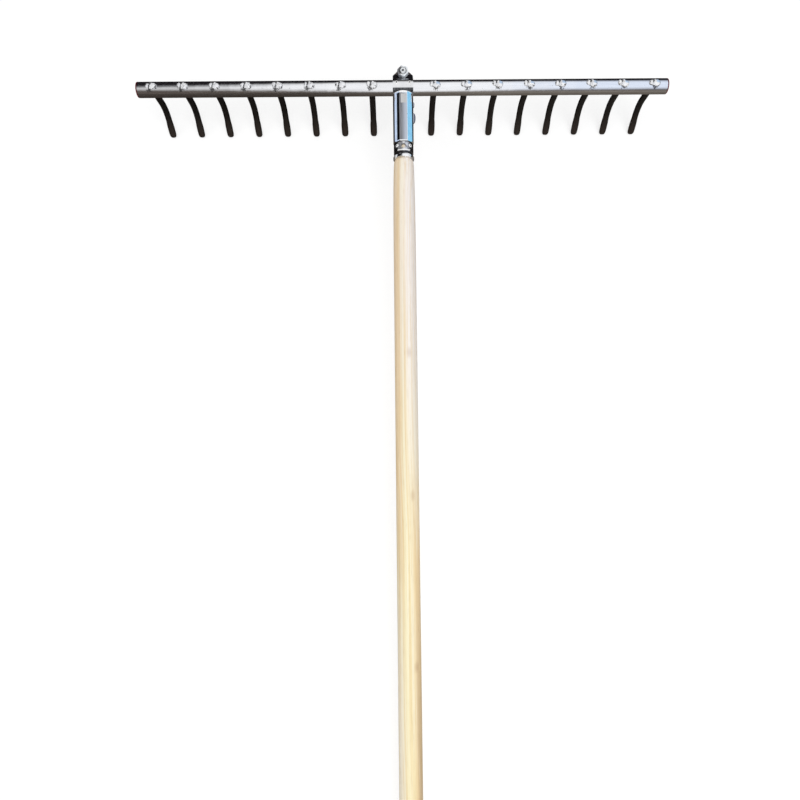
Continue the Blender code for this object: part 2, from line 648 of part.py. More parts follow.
make_head_tube(bright_steel)
make_tines(black_iron)
make_end_plug("end_plug_left", -1, red_plastic)
make_end_plug("end_plug_right", 1, red_plastic)
make_clamp_shell("front_clamp_shell", 1, chrome)
make_clamp_shell("rear_clamp_shell", -1, chrome)
make_clamp_bolt(zinc)
make_clamp_nut(zinc)
make_handle(ash_wood)
make_handle_screw(zinc)
lay_on_ground()
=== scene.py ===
import json
import math

import bmesh
import bpy
from mathutils import Matrix, Vector


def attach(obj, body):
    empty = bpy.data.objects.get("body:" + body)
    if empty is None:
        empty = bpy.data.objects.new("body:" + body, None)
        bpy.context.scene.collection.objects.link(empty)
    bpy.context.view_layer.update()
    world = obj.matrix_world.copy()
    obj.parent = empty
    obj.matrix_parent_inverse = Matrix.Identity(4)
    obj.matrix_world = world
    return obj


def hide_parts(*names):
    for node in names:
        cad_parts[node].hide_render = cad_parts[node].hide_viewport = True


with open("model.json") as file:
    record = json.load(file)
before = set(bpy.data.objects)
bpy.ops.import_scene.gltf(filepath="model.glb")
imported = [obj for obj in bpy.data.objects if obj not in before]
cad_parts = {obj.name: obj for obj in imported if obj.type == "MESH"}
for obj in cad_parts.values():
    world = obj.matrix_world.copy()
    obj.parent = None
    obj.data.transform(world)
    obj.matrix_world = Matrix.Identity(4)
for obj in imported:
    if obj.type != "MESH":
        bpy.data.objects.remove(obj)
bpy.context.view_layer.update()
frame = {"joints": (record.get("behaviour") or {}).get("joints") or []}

# The rake's own frame: X along the head tube, Y away from the user, Z up, the tube's axis at the origin.
# Every piece is made there in millimetres, and laid down at the end as the real rake lies on its tines and
# on its handle's end.
joints = {joint["name"]: joint for joint in frame["joints"]}
TUBE_AXIS = Vector(joints["head_tilt"]["pos_m"])
UP = Vector(joints["nut_turn"]["axis"])
SLOPE = math.atan2(-UP.y, UP.z)
LAID = Matrix.Translation(TUBE_AXIS) @ Matrix.Rotation(SLOPE, 4, "X")
QUARTER = math.pi / 2
ALONG_X = (0.0, QUARTER, 0.0)
ALONG_Y = (QUARTER, 0.0, 0.0)
MM = 0.001

# The saddle is the clamp's hollow round the tube, the cavity its hollow round the handle, and the band the
# ring that the screw goes through, all three as radii. The bolt and the screw are placed from the tube's
# axis. The bolt and the nut take a key of 13 mm.
GAP = 0.3
TUBE_RADIUS = 9.5
TUBE_BORE = 8.0
TUBE_LENGTH = 676
TINE_PITCH = 40
TINE_RADIUS = 4.0
SADDLE = 9.8
CAVITY = 10.9
BAND = 12.5
CLAMP_HALF = 13.0
CLAMP_WALL = 1.5
SEAM_HALF = 0.4
BOLT_PLACE = 18.4
SCREW_PLACE = 82.9
KEY_HALF = 6.5
TENT_RADIUS = 4000


# Ways of working

def in_metres(values):
    return [value * MM for value in values]


def nothing_selected():
    bpy.ops.object.select_all(action="DESELECT")


def only(piece):
    nothing_selected()
    piece.select_set(True)
    bpy.context.view_layer.objects.active = piece


def settle(piece):
    """Puts the piece's place, turn and size into its mesh."""
    only(piece)
    bpy.ops.object.transform_apply(location=True, rotation=True, scale=True)


def settled(name):
    """Names the new primitive and settles it."""
    piece = bpy.context.active_object
    piece.name = name
    piece.data.name = name
    settle(piece)
    return piece


def add_rod(name, radius, length, place=(0, 0, 0), turned=(0, 0, 0), sides=48):
    nothing_selected()
    bpy.ops.mesh.primitive_cylinder_add(
        vertices=sides, radius=radius * MM, depth=length * MM, location=in_metres(place), rotation=turned
    )
    return settled(name)


def add_block(name, size, place, turned=(0, 0, 0)):
    nothing_selected()
    bpy.ops.mesh.primitive_cube_add(
        size=1, location=in_metres(place), rotation=turned, scale=in_metres(size)
    )
    return settled(name)


def add_ball(name, size, place, turned):
    nothing_selected()
    bpy.ops.mesh.primitive_uv_sphere_add(
        segments=28, ring_count=18, radius=0.5, location=in_metres(place), rotation=turned,
        scale=in_metres(size)
    )
    return settled(name)


def draw_line(name, points):
    """Extrudes one vertex from point to point, and leaves the whole line selected in edit mode."""
    nothing_selected()
    bpy.ops.mesh.primitive_plane_add(size=MM)
    piece = settled(name)
    bpy.ops.object.mode_set(mode="EDIT")
    bpy.ops.mesh.select_mode(type="VERT")
    bpy.ops.mesh.select_all(action="SELECT")
    bpy.ops.mesh.merge(type="CENTER")
    bpy.ops.transform.translate(value=in_metres(points[0]))
    for before, after in zip(points, points[1:]):
        step = in_metres(b - a for a, b in zip(before, after))
        bpy.ops.mesh.extrude_vertices_move(TRANSFORM_OT_translate={"value": step})
    bpy.ops.mesh.select_all(action="SELECT")
    return piece


def close_up():
    """Joins the vertices that a spin doubled, turns every face outward and leaves edit mode."""
    bpy.ops.mesh.select_all(action="SELECT")
    bpy.ops.mesh.remove_doubles(threshold=0.002 * MM)
    bpy.ops.mesh.normals_make_consistent(inside=False)
    bpy.ops.object.mode_set(mode="OBJECT")


def add_turned(name, profile, steps=64, turned=(0, 0, 0), place=(0, 0, 0)):
    """Spins a profile of (radius, height) round Z, then turns and places it."""
    piece = draw_line(name, [(radius, 0, height) for radius, height in profile])
    bpy.ops.mesh.spin(steps=steps, angle=2 * math.pi, center=(0, 0, 0), axis=(0, 0, 1))
    close_up()
    piece.rotation_euler = turned
    piece.location = in_metres(place)
    settle(piece)
    return piece


def add_plate(name, outline, low, high):
    """Draws a flat outline, fills it and raises it from low to high."""
    piece = draw_line(name, [(x, y, low) for x, y in outline])
    bpy.ops.mesh.edge_face_add()
    bpy.ops.mesh.extrude_region_move(TRANSFORM_OT_translate={"value": (0, 0, (high - low) * MM)})
    bpy.ops.mesh.select_all(action="SELECT")
    bpy.ops.mesh.normals_make_consistent(inside=False)
    bpy.ops.object.mode_set(mode="OBJECT")
    return piece


def tidy_mesh(piece):
    only(piece)
    bpy.ops.object.mode_set(mode="EDIT")
    bpy.ops.mesh.select_all(action="SELECT")
    bpy.ops.mesh.remove_doubles(threshold=0.004 * MM)
    bpy.ops.mesh.dissolve_degenerate(threshold=0.004 * MM)
    bpy.ops.mesh.normals_make_consistent(inside=False)
    bpy.ops.object.mode_set(mode="OBJECT")


def modified(piece, kind, **settings):
    """Adds a modifier with its settings and applies it."""
    only(piece)
    bpy.ops.object.modifier_add(type=kind)
    step = piece.modifiers[-1]
    for name, value in settings.items():
        setattr(step, name, value)
    bpy.ops.object.modifier_apply(modifier=step.name)


def shaped(piece, tool, how):
    modified(piece, "BOOLEAN", operation=how, object=tool, solver="EXACT")
    bpy.data.objects.remove(tool)


def weld(piece, tool):
    shaped(piece, tool, "UNION")


def cut(piece, tool):
    shaped(piece, tool, "DIFFERENCE")


def keep_within(piece, tool):
    shaped(piece, tool, "INTERSECT")


def ease_edges(piece, width, sharper_than, segments=2):
    """A small round on every edge that is sharper than an angle."""
    angle = math.radians(sharper_than)
    modified(
        piece, "BEVEL", width=width * MM, segments=segments, limit_method="ANGLE", angle_limit=angle
    )


def smooth(piece, up_to):
    """Round faces run together and flat ones stay flat up to their eased edges."""
    only(piece)
    bpy.ops.object.shade_smooth_by_angle(angle=math.radians(up_to))
    modified(piece, "WEIGHTED_NORMAL", keep_sharp=True)


def copy_of(piece, name, across):
    """A copy with its own mesh, moved along the tube."""
    copy = piece.copy()
    copy.data = piece.data.copy()
    copy.name = name
    copy.data.name = name
    bpy.context.scene.collection.objects.link(copy)
    copy.data.transform(Matrix.Translation((across * MM, 0, 0)))
    return copy


def arc(centre, radius, start, end, steps):
    """Points on a part of a circle, both ends included, angles in degrees."""
    points = []
    for i in range(steps + 1):
        angle = math.radians(start + (end - start) * i / steps)
        points.append((centre[0] + radius * math.cos(angle), centre[1] + radius * math.sin(angle)))
    return points


def dressed(piece, *finishes):
    piece.data.materials.clear()
    for finish in finishes:
        piece.data.materials.append(finish)


def place_on_rake(piece, body, slot, *nodes):
    """Lays the finished piece down with the rake, where it rides on a body and stands for CAD nodes."""
    piece.matrix_world = LAID @ piece.matrix_world
    settle(piece)
    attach(piece, body)
    if nodes:
        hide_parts(*nodes)


def complete(piece, finish, body, slot, node, edge, sharp, round_up_to):
    """All that follows the shaping: a tidy mesh, eased edges, the finish, and the place on the rake."""
    tidy_mesh(piece)
    ease_edges(piece, edge, sharp)
    smooth(piece, round_up_to)
    dressed(piece, finish)
    place_on_rake(piece, body, slot, node)


# Finishes. Colours are given as they look on a screen, 0 to 255.

def screen_colour(colour):
    """A colour of the screen in the units that shaders use."""
    shares = [value / 255 for value in colour]
    return (*(s / 12.92 if s <= 0.04045 else ((s + 0.055) / 1.055) ** 2.4 for s in shares), 1.0)


class Nodes:
    """The nodes of a world or a material being put together."""

    def __init__(self, owner, end="Material Output"):
        owner.use_nodes = True
        self.tree = owner.node_tree
        self.end = self.tree.nodes[end]

    def feed(self, socket, source):
        """Gives an input a plain value, or links another node's output to it."""
        if isinstance(source, bpy.types.NodeSocket):
            self.tree.links.new(source, socket)
        else:
            socket.default_value = source

    def outputs(self, kind, inputs, **settings):
        """The outputs of a new node whose inputs are fed."""
        node = self.tree.nodes.new("ShaderNode" + kind)
        for name, value in settings.items():
            setattr(node, name, value)
        for socket, source in inputs.items():
            self.feed(node.inputs[socket], source)
        return node.outputs

    def show(self, shader):
        self.feed(self.end.inputs["Surface"], shader)

    def object_place(self):
        return self.outputs("TexCoord", {})["Object"]

    def length_of(self, vector):
        return self.outputs("VectorMath", {0: vector}, operation="LENGTH")["Value"]

    def worked(self, how, *values):
        return self.outputs("Math", dict(enumerate(values)), operation=how)["Value"]

    def gathered(self, how, first, *others):
        for other in others:
            first = self.worked(how, first, other)
        return first

    def plus(self, *values):
        return self.gathered("ADD", *values)

    def times(self, *values):
        return self.gathered("MULTIPLY", *values)

    def larger(self, *values):
        return self.gathered("MAXIMUM", *values)

    def rest(self, value):
        return self.worked("SUBTRACT", 1.0, value)

    def ranged(self, value, low, high, to_low=0.0, to_high=1.0, how="SMOOTHSTEP"):
        """Turns one range of values into another. Low may be greater than high."""
        ends = {"Value": value, "From Min": low, "From Max": high, "To Min": to_low, "To Max": to_high}
        return self.outputs("MapRange", ends, interpolation_type=how)["Result"]

    def blend(self, share, a, b):
        return self.outputs("Mix", {0: share, 2: a, 3: b})[0]

    def mix(self, share, a, b):
        """Mixes two colours, each a colour of the screen, four numbers for the shader, or a socket."""
        a, b = (screen_colour(c) if isinstance(c, tuple) and len(c) == 3 else c for c in (a, b))
        return self.outputs("Mix", {0: share, 6: a, 7: b}, data_type="RGBA")[2]


class Finish(Nodes):
    """A material in the rake's own frame, with one coat of colour painted over another."""

    def __init__(self, name, constants=None):
        self.material = bpy.data.materials.new(name)
        super().__init__(self.material)
        self.shader = self.tree.nodes["Principled BSDF"]
        for socket, value in (constants or {}).items():
            self.shader.inputs[socket].default_value = value
        inputs = {"Vector": self.object_place(), "Location": TUBE_AXIS, "Rotation": (SLOPE, 0.0, 0.0)}
        self.place = self.outputs("Mapping", inputs, vector_type="TEXTURE")["Vector"]
        self.x, self.y, self.z = self.outputs("SeparateXYZ", {0: self.place})

    def stretched(self, scale=(1, 1, 1), turned=(0, 0, 0), moved=(0, 0, 0), source=None):
        inputs = {"Vector": source or self.place, "Scale": scale, "Rotation": turned, "Location": moved}
        return self.outputs("Mapping", inputs)["Vector"]

    def noise(self, scale, detail=3.0, roughness=0.5, source=None):
        inputs = {"Vector": source or self.place, "Scale": scale, "Detail": detail, "Roughness": roughness}
        return self.outputs("TexNoise", inputs)["Fac"]

    def cells(self, scale, feature="F1"):
        inputs = {"Vector": self.place, "Scale": scale}
        return self.outputs("TexVoronoi", inputs, feature=feature)["Distance"]

    def joined(self, x, y=0.0, z=0.0):
        return self.outputs("CombineXYZ", {0: x, 1: y, 2: z})["Vector"]

    def from_tine(self):
        """How far across a place is from the middle of the nearest tine."""
        return self.worked("WRAP", self.x, TINE_PITCH / 2 * MM, -TINE_PITCH / 2 * MM)

    def distance_to(self, point, squeeze=(1, 1, 1), source=None):
        """How far a place is from a point in millimetres, with the directions weighed by squeeze."""
        moved = [-p * MM * s for p, s in zip(point, squeeze)]
        return self.length_of(self.stretched(squeeze, moved=moved, source=source))

    def rise(self, value, start, end, low=0.0, high=1.0):
        """Goes from low to high while a length goes from start to end, in millimetres."""
        return self.ranged(value, start * MM, end * MM, low, high)

    def wavering(self, noise, reach, low=0.3, high=0.7):
        """Turns a noise into a length that goes a reach of millimetres both ways."""
        return self.ranged(noise, low, high, -reach * MM, reach * MM)

    def ramp(self, value, *stops):
        made = self.tree.nodes.new("ShaderNodeValToRGB")
        while len(made.color_ramp.elements) < len(stops):
            made.color_ramp.elements.new(0.5)
        for element, (position, colour) in zip(made.color_ramp.elements, stops):
            element.position = position
            element.color = screen_colour(colour)
        self.feed(made.inputs["Fac"], value)
        return made.outputs["Color"]

    def paint(self, colour, *shares):
        """Lays a colour over what is painted so far, by the product of the shares."""
        self.painted = self.mix(self.times(*shares), self.painted, colour)

    def done(self, rough, *bumps, metal=None):
        """Feeds the shader. A bump is a height from 0 to 1 and its depth in millimetres."""
        self.feed(self.shader.inputs["Base Color"], self.painted)
        self.feed(self.shader.inputs["Roughness"], rough)
        if metal is not None:
            self.feed(self.shader.inputs["Metallic"], metal)
        under = {}
        for height, depth in bumps:
            normal = self.outputs("Bump", {"Height": height, "Distance": depth * MM, **under})["Normal"]
            under = {"Normal": normal}
        self.feed(self.shader.inputs["Normal"], normal)
        return self.material


def drawn_tube_steel():
    """Bright drawn steel: die scratches, specks, painted shade on the underside, a painted shadow beside
    each head.
    """
    steel = Finish("drawn_tube_steel", {"Metallic": 1.0})
    scratches = steel.noise(900, 4, 0.6, steel.stretched((0.03, 1, 1)))
    patches = steel.ranged(steel.noise(14, 3, 0.55), 0.3, 0.7, 0.8, 1.2)
    steel.painted = steel.ramp(
        steel.times(scratches, patches), (0.25, (228, 229, 233)), (0.60, (246, 247, 250))
    )
    steel.paint((96, 92, 90), steel.ranged(steel.noise(420, 2), 0.70, 0.78), 0.7)
    # Painted shade: brown-grey towards the user's side and the underside of the tube, with a ragged edge.
    underneath = steel.plus(steel.times(steel.y, -0.80), steel.times(steel.z, -0.60))
    underside_shade = steel.rise(steel.plus(underneath, steel.wavering(scratches, 1.2, 0.2, 0.8)), 3.5, 7.5)
    steel.paint((130, 120, 108), underside_shade, 0.55)
    # Painted shadow: a dark spot on the tube's top just beside each tine's head, on the user's side.
    across = steel.worked("MULTIPLY_ADD", steel.worked("SIGN", steel.x), -1.9 * MM, steel.from_tine())
    spot = steel.distance_to((0.0, -4.4, 0.0), (0.75, 1, 0), steel.joined(across, steel.y))
    spot = steel.plus(spot, steel.wavering(steel.noise(520, 3), 1.4))
    steel.paint((34, 31, 30), steel.rise(spot, 2.9, 1.4), steel.rise(steel.z, 5.0, 6.5), 0.85)
    rough = steel.ranged(steel.plus(scratches, underside_shade), 0.2, 1.6, 0.13, 0.40)
    return steel.done(rough, (scratches, 0.03), (steel.noise(60, 2), 0.2))


def hammered_steel():
    """The spread ends of the tines: near white where the hammer struck, partly bright steel and partly a
    painted glint; a painted blue reflection on the right lobes; painted shade in the split; black under
    scale.
    """
    steel = Finish("hammered_steel", {"Metallic": 0.12})
    x, y, across = steel.x, steel.y, steel.from_tine()
    place = steel.joined(across, y)
    blows = steel.cells(330, "SMOOTH_F1")
    grain = steel.noise(1500, 3)
    ragged = steel.wavering(steel.noise(620, 3, 0.6), 0.6)
    right_half = steel.rise(x, 0.0, 1.0)
    # Near white: partly the struck steel's own colour and partly a painted glint.
    steel.painted = steel.ramp(
        steel.ranged(blows, 0.0, 0.6), (0.0, (255, 255, 255)), (1.0, (242, 243, 247))
    )
    # Painted reflection: pale sky blue on the outer, near side of the right-hand lobes.
    side = steel.rise(steel.plus(across, ragged), 1.8, 3.0)
    steel.paint((178, 206, 238), side, right_half, steel.rise(y, -2.2, -1.0), 0.8)

    # Painted shade along the chisel split, with less of it low on the right-hand lobes.
    split = steel.plus(steel.worked("MULTIPLY_ADD", y, -0.24, across), 1.2 * MM)
    split = steel.rise(steel.plus(steel.worked("ABSOLUTE", split), ragged), 1.0, 0.5)
    closed = steel.times(right_half, steel.rise(y, 0.5, -0.8, 0.0, 0.75))
    crown = steel.rise(steel.plus(steel.distance_to((-1.2, 3.4, 0), (1, 1, 0), place), ragged), 2.3, 1.8)
    outwards = steel.rise(steel.distance_to((0.8, -0.8, 0), (0.72, 1, 0), place), 3.2, 4.6, 0.0, 0.14)
    flakes = steel.noise(560, 3, 0.6, steel.stretched(turned=(0, 0, 0.5)))
    flakes = steel.ranged(steel.plus(flakes, outwards), 0.60, 0.72)
    # The black is painted shade in the split, a dark patch at the split's far end, and forge scale flakes.
    scale = steel.larger(steel.times(split, steel.rest(closed)), crown, flakes)
    steel.paint((34, 31, 30), scale, 0.92)
    return steel.done(steel.ranged(grain, 0.3, 0.7, 0.26, 0.46), (blows, 0.7), (grain, 0.08))


def forged_black():
    """Black forge scale on the tines, rubbed brown-grey towards the points."""
    iron = Finish("forged_black", {"Specular IOR Level": 0.25})
    scale = iron.noise(260, 5, 0.65)
    pits = iron.ranged(iron.noise(900, 2), 0.62, 0.72)
    iron.painted = iron.ramp(scale, (0.30, (14, 12, 10)), (0.75, (36, 31, 27)))
    iron.paint((58, 48, 42), iron.rise(iron.plus(iron.z, iron.wavering(scale, 6)), -45, -78), 0.6)
    iron.paint((12, 10, 9), pits)
    return iron.done(iron.ranged(scale, 0.3, 0.75, 0.36, 0.60), (scale, 0.25), (pits, -0.1))


def chrome_plate():
    """Chrome over pressed sheet, with painted highlights on edges, bead and pips, painted shade in its
    hollows, and a dark mottle on the ear.
    """
    chrome = Finish("chrome_plate")
    rise, times, larger, rest = chrome.rise, chrome.times, chrome.larger, chrome.rest
    x, y = chrome.x, chrome.y
    aside, z = chrome.worked("ABSOLUTE", x), chrome.worked("ABSOLUTE", chrome.z)
    out = chrome.distance_to((0, 0, 0), (1, 0, 1))
    ripple = chrome.noise(130, 2)
    wipes = chrome.noise(1500, 3, 0.6, chrome.stretched((1, 0.06, 1), turned=(0, 0, 0.12)))
    mottle = chrome.noise(330, 4, 0.6)

    def strip(value, start, end, edge=0.4):
        return times(rise(value, start - edge, start + edge), rise(value, end + edge, end - edge))

    def mottled(low, high, least, most):
        return chrome.ranged(mottle, low, high, least, most)

    chrome.painted = chrome.ramp(ripple, (0.3, (236, 239, 243)), (0.7, (248, 250, 252)))
    chrome.paint((120, 112, 104), chrome.ranged(chrome.noise(700, 2), 0.68, 0.75))
    flat_of_ear, crest, on_pad = rise(z, 8.5, 6.0), rise(z, 6.0, 7.0), rise(out, 12.62, 12.85)
    # The flat of the ear is painted a dark mottled brown.
    ear = times(rise(y, 8.2, 9.2), flat_of_ear)
    dark_ear_mottle = chrome.ramp(mottle, (0.35, (44, 36, 34)), (0.55, (96, 82, 74)), (0.72, (150, 140, 132)))
    chrome.paint(dark_ear_mottle, ear, 0.94)
    # Painted shade with a painted blue-grey sky reflection on the rear shell's side tabs.
    tab = rise(x, 13.15, 13.35)
    chrome.paint((72, 78, 100), tab, 0.92)
    half_round = strip(y, -5.5, 8.0)
    chrome.paint((186, 180, 180), half_round, crest, 0.25)
    chrome.paint((112, 110, 118), strip(y, -87.0, -77.4), on_pad, mottled(0.35, 0.6, 0.25, 0.8))

    # Painted shade, near black: at the foot of the ear, in the valley at the neck, in the grooves, under and
    # beside the pad; the pad's rim is left out.
    foot_of_ear = times(strip(y, 7.8, 17.2, 0.6), flat_of_ear)
    valley = times(strip(y, -9.3, -5.0, 0.5), rise(z, 11.5, 10.8), mottled(0.3, 0.6, 0.78, 0.95))
    grooves = times(larger(strip(y, -77.8, -75.8), strip(y, -91.2, -89.0)), rise(out, 12.65, 12.35))
    band = strip(y, -89.0, -77.8)
    under_pad = times(band, rise(out, 12.85, 12.62), mottled(0.25, 0.5, 0.65, 1.0))
    beside_pad = times(band, rise(aside, 6.8, 7.8), mottled(0.3, 0.6, 0.5, 0.9))
    pad_rim = times(strip(y, -89.0, -87.0, 0.2), rise(out, 12.52, 12.66))
    dark = times(larger(foot_of_ear, valley, grooves, under_pad, beside_pad), rest(pad_rim))

    # Painted highlights, white: the neck's edge, the bead at the mouth, the pad's rim and a ring round each
    # pip.
    neck_edge = times(strip(y, -10.9, -9.6, 0.2), crest)
    bead = larger(strip(x, 1.2, 8.6, 0.8), strip(x, -11.2, -8.4))
    bead = times(bead, strip(y, -96.6, -92.2), rise(z, 1.0, 3.0), 0.85)
    edge_highlights = larger(neck_edge, bead, pad_rim)
    # Each pip gets painted shade in its pit and a painted highlight in a ring round it.
    for pip in ((8.4, 1.3, 11.2), (8.27, -81.4, 9.77)):
        distance = chrome.distance_to(pip, source=chrome.joined(aside, y, z))
        pit, ring = rise(distance, 1.2, 0.9), rise(distance, 2.4, 2.1)
        dark = larger(times(dark, rest(ring)), pit)
        edge_highlights = larger(edge_highlights, chrome.worked("SUBTRACT", ring, pit))
    chrome.paint((255, 255, 255), edge_highlights)
    # Painted shade in the hollows and in the pips' pits.
    chrome.paint((20, 20, 26), dark, 0.95)

    shade_and_dark_ear = larger(dark, ear)
    dull = larger(times(edge_highlights, 0.85), times(strip(y, -88.6, -77.4), on_pad, 0.45), times(tab, 0.6))
    rough = chrome.plus(chrome.ranged(wipes, 0.3, 0.8, 0.06, 0.16), times(shade_and_dark_ear, 0.35))
    bumps = (ripple, 0.12), (wipes, 0.006), (times(mottle, shade_and_dark_ear), 0.2)
    return chrome.done(rough, *bumps, metal=rest(times(dull, rest(dark))))


def zinc_plate():
    """Bright zinc on the bolt, nut and screw, darker at the left, with painted light and shade on the nut's
    flanks and painted shade round the bolt's end.
    """
    zinc = Finish("zinc_plate")
    rise, times, z = zinc.rise, zinc.times, zinc.z
    spangle = zinc.ranged(zinc.cells(420), 0.0, 0.9, 0.0, 0.5)
    cloud = zinc.ranged(zinc.noise(240, 3), 0.3, 0.7, 0.0, 0.5)
    zinc.painted = zinc.ramp(zinc.plus(spangle, cloud), (0.1, (206, 210, 214)), (0.9, (246, 248, 250)))
    # Darker towards the left, with a ragged edge.
    left_darkening = rise(zinc.plus(zinc.x, zinc.wavering(zinc.noise(300, 3), 1.2)), -1.4, -3.6)
    zinc.paint((64, 60, 58), left_darkening, 0.85)
    out = zinc.distance_to((0, BOLT_PLACE, 0), (1, 1, 0))
    # Painted light and shade on the nut's flanks: grey on the left, pale blue-white on the right, with the
    # metal taken away there.
    flank_light_and_shade = times(rise(out, 6.15, 6.40), rise(z, 0.0, 1.0))
    zinc.paint(zinc.mix(rise(zinc.x, -2.4, -0.6), (156, 159, 168), (240, 247, 255)), flank_light_and_shade)
    # Painted shade, near black: in the gap between the bolt's thread and the nut's countersink, and in the
    # middle of the bolt's end.
    shade_between_bolt_and_nut = times(rise(out, 3.9, 4.1), rise(out, 5.0, 4.6))
    centre = zinc.larger(rise(out, 1.7, 1.1), times(shade_between_bolt_and_nut, 0.75))
    zinc.paint((30, 29, 30), centre, rise(z, 6.0, 7.0), 0.92)
    rough = zinc.ranged(zinc.noise(1200, 3), 0.3, 0.7, 0.26, 0.46)
    return zinc.done(rough, (zinc.noise(900, 2), 0.04), metal=zinc.ranged(flank_light_and_shade, 0.0, 1.0, 0.35, 0.0))


def red_plastic():
    """Moulded red plastic with a fine grain and scuffs."""
    plastic = Finish("moulded_red_plastic")
    scuffs = plastic.ranged(plastic.noise(180, 4, 0.7), 0.55, 0.75)
    plastic.painted = plastic.mix(scuffs, (112, 16, 20), (150, 52, 52))
    rough = plastic.ranged(scuffs, 0.0, 1.0, 0.34, 0.6)
    return plastic.done(rough, (plastic.noise(1400, 2), 0.04))


def label_foil():
    """A bare foil label: brushed grey with a painted pale blue reflection towards the right, a black edge
    strip and a pale square, and nothing on them.
    """
    foil = Finish("label_foil", {"Specular IOR Level": 0.2})
    x, y = foil.x, foil.y
    brushed = foil.noise(2600, 3, source=foil.stretched((1, 0.02, 1)))
    # Grey at the left, going over to a painted pale blue reflection at the right.
    foil.painted = foil.mix(foil.rise(x, -3.6, 3.6), (112, 113, 118), (194, 202, 216))
    foil.paint((196, 198, 204), foil.ranged(brushed, 0.3, 0.7, 0.0, 0.35))
    inside = foil.rise(foil.worked("ABSOLUTE", foil.worked("SUBTRACT", x, 0.4 * MM)), 3.7, 3.4)
    foil.paint((206, 206, 206), foil.rise(y, -26.2, -25.8), foil.rise(y, -13.8, -14.2), inside)
    edge = foil.rise(x, -5.1, -5.3)
    foil.paint((14, 14, 18), edge)
    rough = foil.ranged(brushed, 0.3, 0.7, 0.28, 0.42)
    return foil.done(rough, (brushed, 0.01), metal=foil.ranged(edge, 0.0, 1.0, 0.55, 0.0))


def ash_wood():
    """Pale straight-grained wood, sanded, with streaks that wander a little and a few small knots, painted
    shade on its right edge and painted light on its left side towards the butt.
    """
    wood = Finish("ash_wood", {"Coat Weight": 0.12, "Coat Roughness": 0.35})
    wander = wood.noise(3.2, 2, source=wood.stretched((1, 0.35, 1)))
    aside = wood.joined(wood.ranged(wander, 0.3, 0.7, -0.010, 0.010, "LINEAR"))
    swayed = wood.outputs("VectorMath", {0: wood.place, 1: aside}, operation="ADD")["Vector"]
    waves = {"Vector": wood.stretched((1, 0.06, 1), moved=(0.055, 0.0, 0.080), source=swayed)}
    waves |= {"Scale": 52.0, "Distortion": 1.2, "Detail": 3.0, "Detail Scale": 1.4}
    ring = wood.outputs("TexWave", waves, wave_type="RINGS", rings_direction="Y")["Fac"]
    fibres = wood.noise(1700, 3, 0.6, wood.stretched((1, 0.012, 1)))
    pores = wood.ranged(wood.noise(2400, 2, 0.5, wood.stretched((1, 0.02, 1))), 0.60, 0.74)
    drift = wood.noise(4.0, 2, source=wood.stretched((3, 1, 3)))
    streaks = wood.noise(560, 2, 0.5, wood.stretched((1, 0.007, 1), source=swayed))
    across = wood.plus(wood.x, wood.wavering(wander, 3))

    def zone(side, length):
        return wood.times(wood.rise(across, *side), wood.rise(wood.y, *length))

    near_head = wood.rise(wood.y, -620, -160)
    pale = wood.mix(near_head, (252, 243, 204), (250, 242, 232))
    deep = wood.mix(near_head, (244, 224, 174), (244, 228, 206))
    wood.painted = wood.mix(wood.ranged(ring, 0.25, 0.95, 0.0, 0.75), pale, deep)
    wood.paint((248, 230, 184), wood.ranged(drift, 0.35, 0.65, 0.0, 0.25))
    # A tan streak on the left near the head, and painted shade on the right edge towards the butt.
    left_tan_and_right_edge_shade = wood.larger(zone((-1.8, -7.2), (-720, -520)), zone((4.5, 11.0), (-400, -620)))
    wood.paint((246, 210, 160), left_tan_and_right_edge_shade, 0.62)
    # In turn: a whiter, pinker band near the head; painted shade, a faint grey, on the right edge near the
    # head; painted shade, brown, on the right edge towards the butt; painted light on the left side towards
    # the butt.
    for colour, side, length, strength in (
        ((250, 244, 243), (-1.0, 6.0), (-620, -240), 0.8),
        ((184, 176, 172), (8.8, 13.2), (-600, -460), 0.16),
        ((178, 150, 112), (7.5, 12.5), (-500, -850), 0.62),
        ((255, 245, 226), (-3.0, -10.0), (-560, -760), 0.75),
    ):
        wood.paint(colour, zone(side, length), strength)
    wood.paint((232, 204, 150), wood.ranged(streaks, 0.50, 0.66, 0.0, 0.42))
    wood.paint((255, 250, 232), wood.ranged(streaks, 0.46, 0.34, 0.0, 0.42))
    wood.paint((226, 200, 152), wood.ranged(fibres, 0.45, 0.85, 0.0, 0.35))
    wood.paint((186, 150, 104), pores, 0.26)
    for x, y, strength in ((3.5, -345, 0.26), (6.0, -518, 0.28), (8.5, -718, 0.32), (-4.0, -1120, 0.3)):
        from_knot = wood.distance_to((x, y, 13), (1.0, 0.42, 0.6))
        wood.paint((170, 124, 78), wood.rise(from_knot, 4.2, 0.6, 0.0, strength))
    rough = wood.ranged(fibres, 0.3, 0.8, 0.46, 0.64)
    return wood.done(rough, (fibres, 0.06), (pores, -0.08), (ring, 0.05))


# Pieces

def tine_places():
    return [(number if number < 0 else number + 1) * TINE_PITCH for number in range(-8, 8)]


